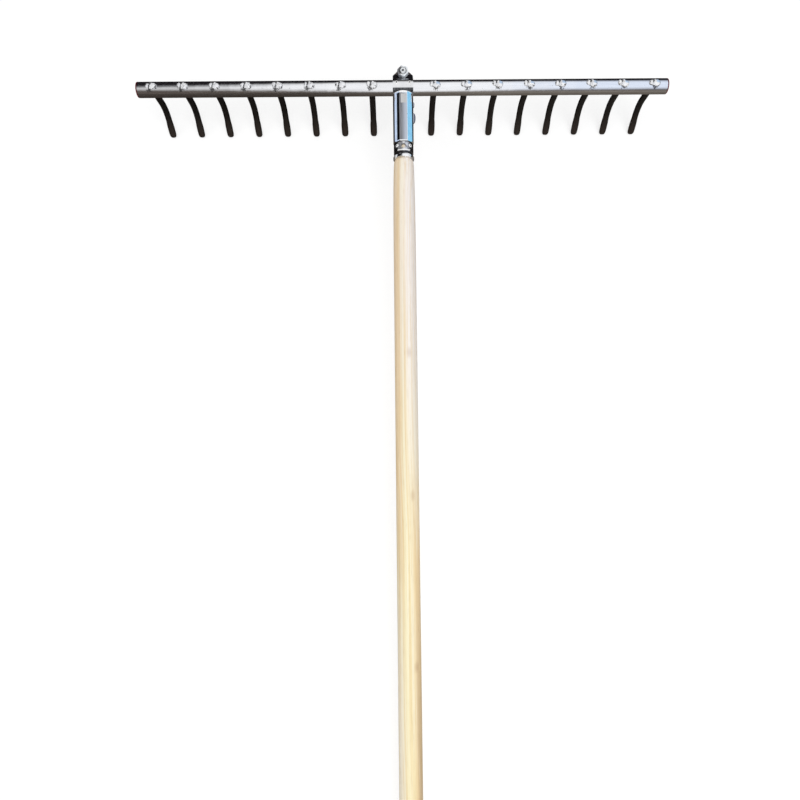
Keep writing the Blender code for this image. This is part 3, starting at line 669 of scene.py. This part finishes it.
def make_head_tube(finish):
    """The bored tube with a pair of holes for each tine."""
    tube = add_rod("drawn_head_tube", TUBE_RADIUS, TUBE_LENGTH, turned=ALONG_X, sides=96)
    bpy.ops.object.mode_set(mode="EDIT")
    bpy.ops.mesh.select_mode(type="FACE")
    bpy.ops.mesh.select_all(action="DESELECT")
    bm = bmesh.from_edit_mesh(tube.data)
    for face in bm.faces:
        face.select_set(abs(face.normal.x) > 0.9)
    bmesh.update_edit_mesh(tube.data)
    bpy.ops.mesh.inset(thickness=(TUBE_RADIUS - TUBE_BORE) * MM, depth=0)
    bpy.ops.mesh.bridge_edge_loops()
    for x in tine_places():
        for side in (-7, 7):
            bpy.ops.mesh.select_all(action="SELECT")
            bpy.ops.mesh.bisect(plane_co=((x + side) * MM, 0, 0), plane_no=(1, 0, 0))
    bpy.ops.mesh.select_all(action="SELECT")
    bpy.ops.mesh.normals_make_consistent(inside=False)
    bpy.ops.object.mode_set(mode="OBJECT")
    ease_edges(tube, 0.25, 50)
    for x in tine_places():
        cut(tube, add_rod("hole", TINE_RADIUS + GAP, 30, (x, 0, 0), sides=28))
    smooth(tube, 35)
    dressed(tube, finish)
    place_on_rake(tube, "head", "bright_steel", "head_tube")


def make_shaft():
    """A round bar, bent towards the user and drawn out to a flat rounded point."""
    top, drops = 10.4, (1.4, 9.0, 9.0, 8.0, 13.0)
    bend_start, bend_radius, bend = -30, 52, math.radians(35)
    nothing_selected()
    bpy.ops.mesh.primitive_circle_add(
        vertices=24, radius=TINE_RADIUS * MM, fill_type="NGON", location=(0, 0, top * MM)
    )
    shaft = settled("forged_shaft")
    bpy.ops.object.mode_set(mode="EDIT")
    bpy.ops.mesh.select_mode(type="FACE")
    bpy.ops.mesh.select_all(action="SELECT")
    for drop in drops:
        bpy.ops.mesh.extrude_region_move(TRANSFORM_OT_translate={"value": (0, 0, -drop * MM)})
    bend_centre = in_metres((0, -bend_radius, bend_start))
    bpy.ops.mesh.spin(steps=12, angle=bend, center=bend_centre, axis=(1, 0, 0))
    along = Vector((0, -math.sin(bend), -math.cos(bend)))
    thick = Vector((0, math.cos(bend), -math.sin(bend)))
    widths = [1.0, 1.04, 1.10, 1.14, 1.15, 1.15, 1.14, 1.10, 1.00, 0.80, 0.42]
    depths = [1.0, 0.97, 0.91, 0.86, 0.85, 0.85, 0.84, 0.82, 0.74, 0.58, 0.30]
    steps = [0.0, 2.2, 2.6, 2.8, 3.2, 3.4, 3.6, 2.4, 1.7, 1.2, 0.6]
    for i in range(1, len(steps)):
        bpy.ops.mesh.extrude_region_move(TRANSFORM_OT_translate={"value": along * steps[i] * MM})
        bm = bmesh.from_edit_mesh(shaft.data)
        ring = [vert for vert in bm.verts if vert.select]
        middle = sum((vert.co for vert in ring), Vector()) / len(ring)
        for vert in ring:
            out = vert.co - middle
            across = out.x * widths[i] / widths[i - 1]
            deep = out.dot(thick) * depths[i] / depths[i - 1]
            vert.co = middle + Vector((across, 0, 0)) + thick * deep
        bmesh.update_edit_mesh(shaft.data)
    close_up()
    return shaft


def make_tine(black, bright, number):
    """The shaft with its top split by a chisel and hammered down into two lobes on the tube."""
    tine = make_shaft()
    lean = math.radians(-14 + 9 * math.sin(number * 2.4))
    leaning = Matrix.Rotation(lean, 3, "Z")
    lobes = []
    for side, width, length, height in ((-1, 6.4, 7.0, 4.2), (1, 8.6, 9.0, 4.8)):
        swell = 1 + 0.08 * math.sin(number * 1.7 + side)
        spot = leaning @ Vector((side * 3.3 + 0.3, 0.3 * side * math.sin(number) - 0.7, SADDLE - 0.1))
        lobes.append(add_ball("lobe", (width * swell, length / swell, height), spot, (0, 0, lean)))
    stake, other = lobes
    weld(stake, other)
    cut(stake, add_rod("saddle", SADDLE, 40, turned=ALONG_X, sides=96))
    weld(tine, stake)
    spot = leaning @ Vector((-1.2, 0, SADDLE + 2.5))
    cut(tine, add_block("cleft", (2.8, 20, 2.8), spot, (0, QUARTER / 2, lean)))
    tidy_mesh(tine)
    ease_edges(tine, 0.30, 38)
    dressed(tine, black, bright)
    for face in tine.data.polygons:
        face.material_index = 1 if face.center.z > 7.6 * MM else 0
    smooth(tine, 45)
    return tine


def make_tines(black, bright):
    patterns = [make_tine(black, bright, number) for number in range(3)]
    for number, x in enumerate(tine_places(), start=1):
        tine = copy_of(patterns[number % 3], f"forged_tine_{number:02d}", x)
        place_on_rake(tine, "head", "black_iron", f"tine_{number:02d}")
    for pattern in patterns:
        bpy.data.objects.remove(pattern)


def make_end_plugs(finish):
    """Ribbed plastic plugs with a domed flange and the small mark that the mould's gate leaves."""
    dome = [(0, 1.55), (0.7, 1.55), (0.9, 1.8), (1.2, 1.8), (5.7, 1.68), (8.1, 1.5), (9.1, 1.15), (9.5, 0.6)]
    profile = dome + [(9.5, 0), (7.7, 0)]
    for rib in range(3):
        top = -2.5 * (rib + 0.4)
        profile += [(7.3, top), (7.3, top - 1.2), (7.7, top - 1.7)]
    profile += [(7.3, -10), (6.1, -10), (6.1, -2.5), (0, -2.5)]
    for name, side in (("end_plug_left", -1), ("end_plug_right", 1)):
        place = (side * (TUBE_LENGTH / 2 + GAP), 0, 0)
        plug = add_turned(f"moulded_{name}", profile, 64, (0, side * QUARTER, 0), place)
        complete(plug, finish, "head", "red_plastic", name, edge=0.12, sharp=40, round_up_to=40)


def socket_outside():
    """The socket's outside from its mouth to its neck: bead, groove, band, groove and panel."""
    groove, bead = BAND - 0.8, CLAMP_HALF - 0.6
    profile = [(0, 96.5), (12.2, 96.5)]
    profile += arc((bead, 95.4), 0.9, 60, 0, 4) + arc((bead, 93.4), 0.9, 0, -60, 4)
    profile += [(groove, 90.4), (groove, 89.8), (BAND - 0.2, 88.9), (BAND, 88.5)]
    profile += [(BAND, 78.2), (BAND - 0.2, 77.8), (groove, 77.1), (groove, 76.5)]
    profile += [(12.7, 75.4), (CLAMP_HALF, 74.4), (CLAMP_HALF, 11.0)]
    return profile + [(12.8, 10.4), (12.3, 9.9), (10.8, 9.2), (7.6, 8.2), (0, 8.2)]


def socket_hollow():
    return [(0, 110), (CAVITY, 110)] + arc((CAVITY - 3, 19.2), 3, 0, -90, 6) + [(0, 16.2)]


def make_pip(place, turned):
    """A round boss with a small pit in its middle, as a pressed weld spot has."""
    profile = [(0, 0.15), (0.5, 0.18), (0.8, 0.4), (1.0, 0.78), (1.25, 0.92), (1.55, 0.84), (1.9, 0.5)]
    return add_turned("pip", profile + [(2.2, 0.0), (2.2, -1.2), (0, -1.2)], 28, turned, place)


def make_clamp_shell(name, side, finish):
    """One pressed half of the clamp, side 1 over the tube and -1 under it."""
    wrap = SADDLE + CLAMP_WALL
    shell = add_turned(f"pressed_{name}", socket_outside(), 96, ALONG_Y)
    weld(shell, add_rod("wrap", wrap, 2 * CLAMP_HALF, turned=ALONG_X, sides=96))
    ear_side, ear_top, ear_round = 15.5, 21.4, 5.0
    outline = [(CLAMP_HALF, 0), (CLAMP_HALF, ear_side)] + arc((0, ear_top), ear_round, 45, 135, 10)
    outline += [(-CLAMP_HALF, ear_side), (-CLAMP_HALF, 0)]
    top = SEAM_HALF + CLAMP_WALL
    low, high = sorted((side * SEAM_HALF, side * top))
    weld(shell, add_plate("ear", outline, low, high))
    outline = [(11.1, 0), (7.2, 5.6), (-7.2, 5.6), (-11.1, 0), (-7.2, -5.6), (7.2, -5.6)]
    low, high = sorted((side * top, side * 26))
    pad = add_plate("pad", [(x, y - SCREW_PLACE) for x, y in outline], low, high)
    pad_height = BAND + 0.5
    keep_within(pad, add_rod("pad_reach", pad_height, 60, (0, -SCREW_PLACE, 0), ALONG_Y, sides=96))
    weld(shell, pad)
    tilt = 0 if side > 0 else math.pi
    for across in (-8.4, 8.4):
        crest = math.sqrt(wrap**2 - 1.3**2)
        weld(shell, make_pip((across, 1.3, side * (crest - 0.2)), (tilt, 0, 0)))
        lean, out = math.asin(across / pad_height), pad_height - 0.2
        spot = (out * math.sin(lean), 1.5 - SCREW_PLACE, side * out * math.cos(lean))
        weld(shell, make_pip(spot, (tilt, side * lean, 0)))
    if side > 0:
        length, middle, thick = 68.8, -42.2, 10
        for lean, height in ((-40, 12.4), (0, 11.9), (40, 12.4)):
            turn, out = math.radians(lean), height + thick / 2
            place = (out * math.sin(turn), middle, out * math.cos(turn))
            cut(shell, add_block("flat", (2 * CLAMP_HALF, length, thick), place, (0, turn, 0)))
    else:
        for middle, rise, length in ((39.7, 2.8, 13.0), (21.8, 1.5, 6.5)):
            tab = add_rod("tab", 1, 3.0, sides=40)
            tab.scale = (rise, length / 2, 1)
            tab.location = in_metres((CLAMP_HALF, -middle, -1.9))
            settle(tab)
            weld(shell, tab)
    cut(shell, add_rod("bore", SADDLE, 40, turned=ALONG_X, sides=96))
    cut(shell, add_turned("cavity", socket_hollow(), 96, ALONG_Y))
    cut(shell, add_block("other_half", (60, 300, 50), (0, -40, side * (SEAM_HALF - 25))))
    cut(shell, add_rod("bolt_hole", 4.3, 20, (0, BOLT_PLACE, 0), sides=40))
    cut(shell, add_rod("screw_hole", 2.8, 20, (0, -SCREW_PLACE, side * 14), sides=40))
    complete(shell, finish, "handle_and_clamp", "chrome", name, edge=0.28, sharp=32, round_up_to=40)


def add_hexagon(name, height, low, turn):
    """A six-sided bar end with its corners turned off at both faces."""
    corner = KEY_HALF / math.cos(math.pi / 6)
    place = (0, BOLT_PLACE, low + height / 2)
    hexagon = add_rod(name, corner, height, place, (0, 0, math.radians(turn)), 6)
    wide, face, drop = corner * 1.01, 6.2, 0.62
    barrel = [(0, height), (face, height), (wide, height - drop), (wide, drop), (face, 0), (0, 0)]
    keep_within(hexagon, add_turned("barrel", barrel, 72, place=(0, BOLT_PLACE, low)))
    return hexagon


def make_clamp_nut(finish):
    nut = add_hexagon("turned_clamp_nut", 6.5, 2.2, 16)
    cut(nut, add_rod("bore", 4.3, 30, (0, BOLT_PLACE, 0)))
    sink = [(0, 1.2), (5.2, 1.2), (4.0, -0.1), (0, -0.1)]
    cut(nut, add_turned("sink", sink, 48, place=(0, BOLT_PLACE, 8.1)))
    complete(nut, finish, "nut", "zinc", "clamp_nut", edge=0.15, sharp=28, round_up_to=35)


def make_clamp_bolt(finish):
    """Head down through both ears, its thread and its centred end showing above the nut."""
    bolt = add_hexagon("threaded_clamp_bolt", 5.3, -7.5, 30)
    radius, root, pitch, shank_end = 4.0, 3.45, 1.25, -2.6
    thread = [(0, 9.2), (0.9, 9.3), (1.6, 9.95), (2.2, 10.1), (3.1, 10.1), (3.75, 9.6)]
    height = 9.35
    while height > 2.5:
        thread += [(radius, height), (radius, height - 0.2), (root, height - 0.62), (root, height - 0.82)]
        height -= pitch
    thread += [(radius, height), (radius, shank_end), (0, shank_end)]
    weld(bolt, add_turned("shank", thread, 48, place=(0, BOLT_PLACE, 0)))
    complete(bolt, finish, "bolt", "zinc", "clamp_bolt", edge=0.15, sharp=45, round_up_to=35)


def make_handle_screw(finish):
    """A slotted round-head wood screw in the rear shell."""
    seat, height, core, pitch = 13.3, 2.4, 1.55, 1.6
    crown = [(0, height), (1.1, 2.32), (2.2, 2.05), (3.2, 1.55), (3.9, 0.85), (4.2, 0), (2.0, 0)]
    profile = [(radius, seat + above) for radius, above in crown]
    depth = seat - 3.0
    while depth > 1.5:
        profile += [(core, depth), (core + 0.4, depth - 0.5), (core, depth - 1.0)]
        depth -= pitch
    profile += [(0, -1.4)]
    screw = add_turned("slotted_handle_screw", profile, 48, (math.pi, 0, 0), (0, -SCREW_PLACE, 0))
    slot_place = (0, -SCREW_PLACE, -seat - height)
    cut(screw, add_block("slot", (14, 1.1, 2), slot_place, (0, 0, math.radians(20))))
    complete(screw, finish, "handle_and_clamp", "zinc", "handle_screw", edge=0.1, sharp=45, round_up_to=35)


def make_handle(finish):
    """A long turned handle: the nose in the socket, a rounded shoulder, a taper, and a rounded butt."""
    butt, radius, shoulder, nose = 1516.5, 14.0, 12.4, 10.6
    mouth, rounding, taper = 96.8, 4.5, 130
    start = mouth + rounding
    profile = [(0, butt)] + arc((radius - 7, butt - 7), 7, 90, 0, 10)
    profile += [(radius, butt - 60 - 96 * i) for i in range(13)]
    for i in range(12, 0, -1):
        share = i / 12
        profile.append((radius - (radius - shoulder) * (1 - share) ** 2, start + taper * share**1.6))
    for i in range(7):
        angle = math.radians(-90 * i / 6)
        wide = nose + (shoulder - nose) * math.cos(angle)
        profile.append((wide, start + rounding * math.sin(angle)))
    profile += arc((nose - 3, 19.5), 3, 0, -90, 6)[:-1] + [(7.6, 16.5), (0, 16.5)]
    handle = add_turned("turned_handle", profile, 72, ALONG_Y)
    cut(handle, add_rod("pilot", 2.3, 30, (0, -SCREW_PLACE, -13.3), sides=28))
    smooth(handle, 40)
    dressed(handle, finish)
    place_on_rake(handle, "handle_and_clamp", "ash_wood", "handle")


def make_label(finish):
    """The bare foil label on the front shell's flat, its border folded over onto the next flat."""
    left, right, top, bottom, corner = -5.3, 4.7, -12.6, -74.2, 0.8
    outline = arc((right - corner, top - corner), corner, 0, 90, 5) + [(left, top), (left, bottom)]
    outline += arc((right - corner, bottom + corner), corner, 270, 360, 5)
    label = add_plate("foil_label", outline, 11.86, 12.02)
    place = (-6.54, (top + bottom) / 2, 10.80)
    weld(label, add_block("border", (3.9, top - bottom, 0.26), place, (0, math.radians(-40), 0)))
    ease_edges(label, 0.04, 60, 1)
    dressed(label, finish)
    place_on_rake(label, "handle_and_clamp", "chrome")


# Studio. Its places are in metres.

def seen_directly(nodes):
    """1 for what the camera, a mirror or glass sees, 0 for what lights the object."""
    path = nodes.outputs("LightPath", {})
    return nodes.larger(*(path[f"Is {kind} Ray"] for kind in ("Camera", "Glossy", "Transmission")))


def make_sky():
    world = bpy.data.worlds.new("white_studio")
    bpy.context.scene.world = world
    sky = Nodes(world, "World Output")
    lit = sky.tree.nodes["Background"]
    lit.inputs["Color"].default_value = (1, 1, 1, 1)
    lit.inputs["Strength"].default_value = 0.50
    white = sky.outputs("Background", {"Color": (1, 1, 1, 1), "Strength": 1.0})[0]
    sky.show(sky.outputs("MixShader", {0: seen_directly(sky), 1: lit.outputs[0], 2: white})[0])


def make_floor():
    """A white floor that keeps a faint shadow."""
    nothing_selected()
    bpy.ops.mesh.primitive_plane_add(size=30, location=(0, 0, -0.0004))
    floor = settled("studio_floor")
    material = bpy.data.materials.new("white_floor")
    white = Nodes(material)
    matt = white.tree.nodes["Principled BSDF"]
    matt.inputs["Base Color"].default_value = (0.80, 0.80, 0.80, 1)
    matt.inputs["Roughness"].default_value = 1.0
    matt.inputs["Specular IOR Level"].default_value = 0.0
    pale = white.outputs("BsdfDiffuse", {"Color": (0.42, 0.42, 0.42, 1)})[0]
    brighter_away = white.ranged(white.length_of(white.object_place()), 1.2, 5.0, 0.66, 0.81, "LINEAR")
    glow = white.outputs("Emission", {"Strength": brighter_away})[0]
    both = white.outputs("AddShader", {0: pale, 1: glow})[0]
    white.show(white.outputs("MixShader", {0: seen_directly(white), 1: matt.outputs[0], 2: both})[0])
    dressed(floor, material)


def make_light_tent():
    """What polished metal mirrors: white above, a dark far edge, brown ground, and two small pale blue
    patches low ahead, one at each side, that show in the clamp's flats.

    Only mirror rays meet it. The camera sees the white studio, and sky and lamps light the object.
    """
    radius, middle = TENT_RADIUS * MM, (0, TUBE_AXIS.y, 0)
    nothing_selected()
    bpy.ops.mesh.primitive_uv_sphere_add(segments=64, ring_count=48, radius=radius, location=middle)
    tent = settled("light_tent")
    bpy.ops.object.mode_set(mode="EDIT")
    bpy.ops.mesh.select_all(action="SELECT")
    bpy.ops.mesh.bisect(plane_co=(0, 0, 0.0002), plane_no=(0, 0, 1), clear_inner=True, use_fill=True)
    bpy.ops.object.mode_set(mode="OBJECT")

    material = bpy.data.materials.new("light_tent")
    walls = Nodes(material)
    walls.tree.nodes.remove(walls.tree.nodes["Principled BSDF"])
    ranged, times, blend, mix = walls.ranged, walls.times, walls.blend, walls.mix
    inputs = {"Vector": walls.object_place(), "Scale": [1 / radius] * 3}
    inputs["Location"] = (0, -TUBE_AXIS.y / radius, 0)
    right, away, height = walls.outputs("SeparateXYZ", {0: walls.outputs("Mapping", inputs)[0]})
    beyond = ranged(away, -0.15, 0.15)
    lifted = walls.plus(height, blend(ranged(right, -0.36, -0.02), -0.32, 0.14))
    ahead = times(ranged(right, -0.14, -0.02), ranged(right, 0.24, 0.10))
    near = ranged(walls.plus(lifted, blend(ahead, 0.0, 0.34)), 0.19, 0.93)
    sky = blend(beyond, near, ranged(lifted, 0.42, 0.98))
    dark = mix(beyond, (88, 80, 74), (30, 27, 30))
    white = mix(ranged(right, 0.10, 0.34), (1.0, 1.0, 1.0, 1), (0.80, 0.87, 1.0, 1))
    colour = mix(sky, dark, white)
    low_ahead = times(
        ranged(away, 0.30, 0.40), ranged(away, 0.62, 0.54),
        ranged(height, 0.28, 0.21), ranged(height, 0.06, 0.12)
    )
    colour = mix(times(ranged(right, 0.73, 0.84), low_ahead), colour, (150, 216, 252))
    colour = mix(times(ranged(right, -0.73, -0.84), low_ahead), colour, (208, 224, 250))
    ground = mix(ranged(right, -0.05, 0.05), (72, 65, 60), (130, 123, 115))
    ground = mix(ranged(away, -0.003, 0.003), ground, (30, 27, 30))
    colour = mix(ranged(height, 0.0001, 0.004), ground, colour)
    walls.show(walls.outputs("Emission", {"Color": colour})[0])
    tent.data.materials.append(material)
    tent.visible_camera = False
    tent.visible_diffuse = False
    tent.visible_shadow = False
    tent.visible_transmission = False


def make_lamp(name, place, size, power):
    """A lamp that points at the middle of the rake."""
    data = bpy.data.lights.new(name, "AREA")
    data.shape = "RECTANGLE"
    data.size, data.size_y = size
    data.energy = power
    lamp = bpy.data.objects.new(name, data)
    bpy.context.scene.collection.objects.link(lamp)
    lamp.location = place
    lamp.rotation_euler = (-Vector(place)).to_track_quat("-Z", "Y").to_euler()
    lamp.visible_glossy = False


def make_camera():
    """The photograph's view: from 0.8 m above the handle, looking down and a little ahead."""
    data = bpy.data.cameras.new("photograph_view")
    data.lens = 29.25
    data.sensor_width = 36
    data.clip_start = 0.01
    data.clip_end = 50
    camera = bpy.data.objects.new("photograph_view", data)
    bpy.context.scene.collection.objects.link(camera)
    view = Matrix.Identity(3)
    for axis, degrees in (("Z", -0.59), ("Y", -0.38), ("X", -4.84)):
        view = view @ Matrix.Rotation(math.radians(degrees), 3, axis)
    flip = Matrix.Diagonal((1, -1, -1))
    right, down, ahead = (flip @ row for row in view)
    stand = Matrix((right, -down, -ahead)).transposed().to_4x4()
    stand.translation = (-0.0134, -0.4696, 0.7982)
    camera.matrix_world = LAID @ stand
    bpy.context.scene.camera = camera


make_camera()
make_sky()
make_floor()
make_lamp("overhead_lamp", (0.45, -0.3, 2.3), size=(1.7, 2.2), power=32)
make_lamp("left_lamp", (-1.6, 0.2, 1.9), size=(1.4, 1.4), power=6)
make_light_tent()

chrome = chrome_plate()
zinc = zinc_plate()
make_head_tube(drawn_tube_steel())
make_tines(forged_black(), hammered_steel())
make_end_plugs(red_plastic())
make_clamp_shell("front_clamp_shell", 1, chrome)
make_clamp_shell("rear_clamp_shell", -1, chrome)
make_clamp_nut(zinc)
make_clamp_bolt(zinc)
make_handle_screw(zinc)
make_handle(ash_wood())
make_label(label_foil())

bpy.context.scene.view_settings.view_transform = "Standard"
